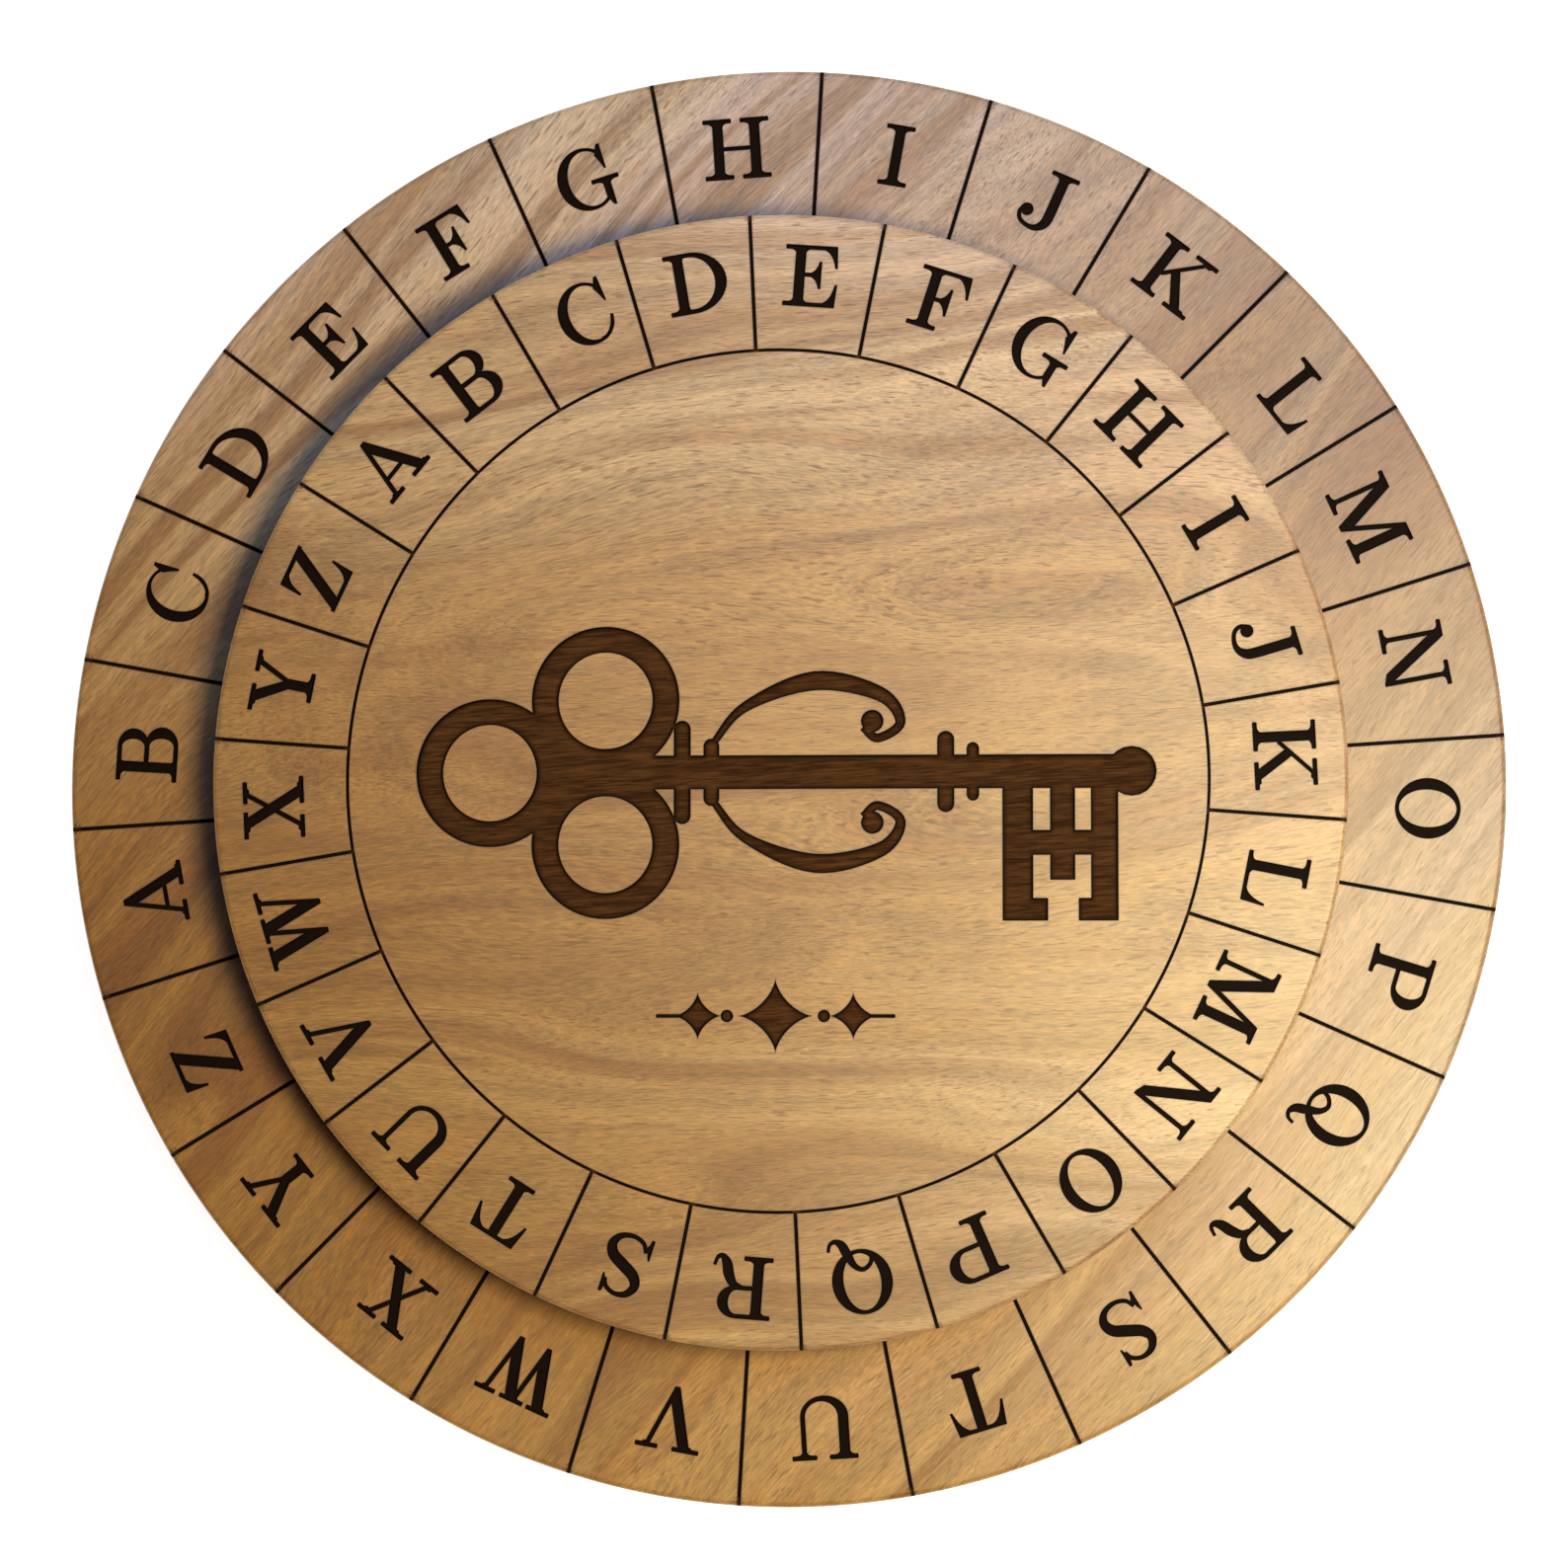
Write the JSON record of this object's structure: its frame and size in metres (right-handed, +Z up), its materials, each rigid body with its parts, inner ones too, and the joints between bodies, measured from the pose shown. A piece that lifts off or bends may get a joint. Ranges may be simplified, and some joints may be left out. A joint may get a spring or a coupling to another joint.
{
  "type": "cipher wheel",
  "caption": "Wooden cipher wheel: a round base disc and a smaller disc that turns on it about a hidden pivot, each engraved with the alphabet in equal cells.",
  "frame": {"origin": "on the pivot's axis, on the plane that the feet stand on", "axes": "+Z up out of the lettered face along the pivot, +Y to the top of the face as it lies, +X to its right"},
  "size_m": [0.13, 0.13, 0.0186],
  "materials": {
    "base_wood": "satin clear coat over pale hardwood, laser-engraved lines and letters",
    "rotor_wood": "satin clear coat over pale hardwood, laser-engraved lines and letters",
    "brass": "turned brass, unpolished",
    "zinc_steel": "zinc-plated steel, satin",
    "spring_steel": "spring steel strip, dull",
    "nylon": "natural nylon sheet",
    "foot_rubber": "soft black rubber, matte"
  },
  "bodies": {
    "base": {"base_disc": "base_wood", "pivot_bush": "brass", "glide_washer": "nylon", "rubber_foot_1": "foot_rubber", "rubber_foot_2": "foot_rubber", "rubber_foot_3": "foot_rubber", "rubber_foot_4": "foot_rubber"},
    "rotor": {"rotor_disc": "rotor_wood", "threaded_insert": "brass", "pivot_screw": "zinc_steel", "flat_washer": "zinc_steel", "wave_washer": "spring_steel"}
  },
  "joints": [
    {"name": "rotor_turn", "type": "hinge", "parent": "base", "child": "rotor", "pos_m": [0, 0, 0.0117], "axis": [0, 0, 1], "continuous": true}
  ]
}
